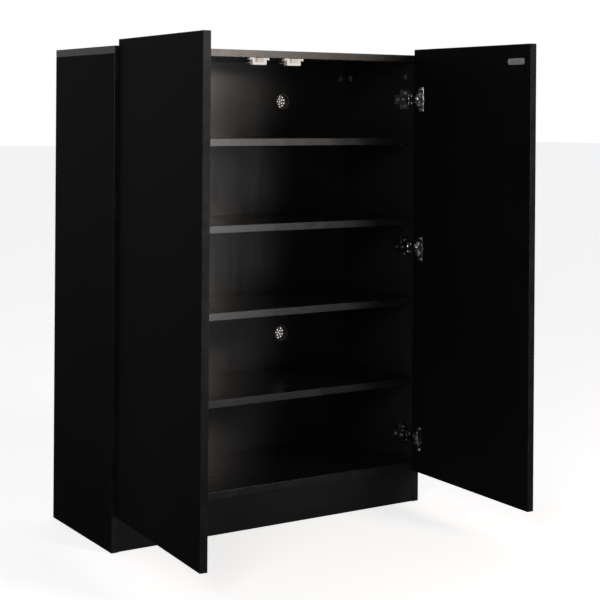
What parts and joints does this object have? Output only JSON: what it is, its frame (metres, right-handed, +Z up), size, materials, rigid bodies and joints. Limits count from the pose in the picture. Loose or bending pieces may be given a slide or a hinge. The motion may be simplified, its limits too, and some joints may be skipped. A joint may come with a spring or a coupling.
{
  "type": "shoe cabinet",
  "caption": "Free-standing shoe cabinet with full-overlay doors on concealed hinges, inner shelves, magnetic push catches, vents in the back and a plain kick board",
  "frame": {"origin": "on the floor at mid width, in the cabinet's rear plane", "axes": "+Z up, +X to the right as seen from the front, the front faces -Y"},
  "size_m": [0.8168, 0.7011, 1.063],
  "materials": {
    "black_board": "satin near-black melamine foil",
    "black_edge_band": "smooth satin near-black edge band",
    "hinge_steel": "bright nickel-plated pressed steel",
    "plated_screws": "bright zinc-plated steel",
    "zinc_fittings": "die-cast zinc",
    "vent_metal": "satin bronze-brown lacquer",
    "catch_plastic": "warm white moulded plastic",
    "barrel_plastic": "dark grey moulded plastic",
    "catch_steel": "zinc-plated steel",
    "magnet": "dark sintered magnet between steel plates",
    "dowel_wood": "fluted beech"
  },
  "bodies": {
    "cabinet": {"side_panel_left": "black_board", "side_panel_right": "black_board", "top_panel": "black_board", "bottom_panel": "black_board", "back_panel": "black_board", "kick_panel": "black_board", "shelf_1": "black_board", "shelf_2": "black_board", "shelf_3": "black_board", "shelf_4": "black_board", "carcass_edge_bands": "black_edge_band", "shelf_edge_bands": "black_edge_band", "cam_locks": "zinc_fittings", "cam_bolts": "plated_screws", "wood_dowels": "dowel_wood", "shelf_pins": "zinc_fittings", "vent_grommets_left": "vent_metal", "vent_grommets_right": "vent_metal", "left_hinge_arm_upper": "hinge_steel", "left_hinge_arm_middle": "hinge_steel", "left_hinge_arm_lower": "hinge_steel", "right_hinge_arm_upper": "hinge_steel", "right_hinge_arm_middle": "hinge_steel", "right_hinge_arm_lower": "hinge_steel", "mounting_plates": "hinge_steel", "hinge_screws": "plated_screws", "arm_pins": "plated_screws", "catch_housing_left": "catch_plastic", "catch_housing_right": "catch_plastic", "catch_spring_left": "catch_steel", "catch_spring_right": "catch_steel", "catch_screws": "plated_screws", "catch_stirrups": "catch_steel", "catch_barrels": "barrel_plastic"},
    "left_inner_links": {"left_inner_links": "hinge_steel"},
    "left_outer_links": {"left_outer_links": "hinge_steel"},
    "left_door": {"left_door_panel": "black_board", "left_door_edge_band": "black_edge_band", "left_hinge_cup_upper": "hinge_steel", "left_hinge_cup_middle": "hinge_steel", "left_hinge_cup_lower": "hinge_steel", "left_cup_screws": "plated_screws", "left_cup_pins": "plated_screws", "left_strike_plate": "catch_steel", "left_strike_screws": "plated_screws"},
    "right_inner_links": {"right_inner_links": "hinge_steel"},
    "right_outer_links": {"right_outer_links": "hinge_steel"},
    "right_door": {"right_door_panel": "black_board", "right_door_edge_band": "black_edge_band", "right_hinge_cup_upper": "hinge_steel", "right_hinge_cup_middle": "hinge_steel", "right_hinge_cup_lower": "hinge_steel", "right_cup_screws": "plated_screws", "right_cup_pins": "plated_screws", "right_strike_plate": "catch_steel", "right_strike_screws": "plated_screws"},
    "left_plunger": {"catch_plunger_left": "catch_plastic", "catch_magnet_left": "magnet"},
    "right_plunger": {"catch_plunger_right": "catch_plastic", "catch_magnet_right": "magnet"}
  },
  "joints": [
    {"name": "left_inner_link_pivot", "type": "hinge", "parent": "cabinet", "child": "left_inner_links", "pos_m": [-0.3706, -0.292, 0.597], "axis": [0, 0, -1], "range_deg": [-3.28, 31.13]},
    {"name": "left_outer_link_pivot", "type": "hinge", "parent": "cabinet", "child": "left_outer_links", "pos_m": [-0.3728, -0.2998, 0.597], "axis": [0, 0, -1], "range_deg": [-2.78, 23.87]},
    {"name": "left_door_hinge", "type": "hinge", "parent": "left_inner_links", "child": "left_door", "pos_m": [-0.38031, -0.31282, 0.597], "axis": [0, 0, -1], "range_deg": [-123.43, 8.58]},
    {"name": "right_inner_link_pivot", "type": "hinge", "parent": "cabinet", "child": "right_inner_links", "pos_m": [0.3706, -0.292, 0.597], "axis": [0, 0, 1], "range_deg": [-4.53, 29.88]},
    {"name": "right_outer_link_pivot", "type": "hinge", "parent": "cabinet", "child": "right_outer_links", "pos_m": [0.3728, -0.2998, 0.597], "axis": [0, 0, 1], "range_deg": [-3.72, 22.93]},
    {"name": "right_door_hinge", "type": "hinge", "parent": "right_inner_links", "child": "right_door", "pos_m": [0.38076, -0.3126, 0.597], "axis": [0, 0, 1], "range_deg": [-118.28, 13.73]},
    {"name": "left_plunger_slide", "type": "slide", "parent": "cabinet", "child": "left_plunger", "axis": [0, 1, 0], "range_m": [0, 0.004], "stiffness_N_per_m": 200, "deforming": ["catch_spring_left"]},
    {"name": "right_plunger_slide", "type": "slide", "parent": "cabinet", "child": "right_plunger", "axis": [0, 1, 0], "range_m": [0, 0.004], "stiffness_N_per_m": 200, "deforming": ["catch_spring_right"]}
  ],
  "couplings": [
    {"joint": "left_inner_link_pivot", "follows": "left_door_hinge", "ratio": -0.24248},
    {"joint": "left_outer_link_pivot", "follows": "left_door_hinge", "ratio": -0.1837},
    {"joint": "right_inner_link_pivot", "follows": "right_door_hinge", "ratio": -0.24248},
    {"joint": "right_outer_link_pivot", "follows": "right_door_hinge", "ratio": -0.1837}
  ]
}
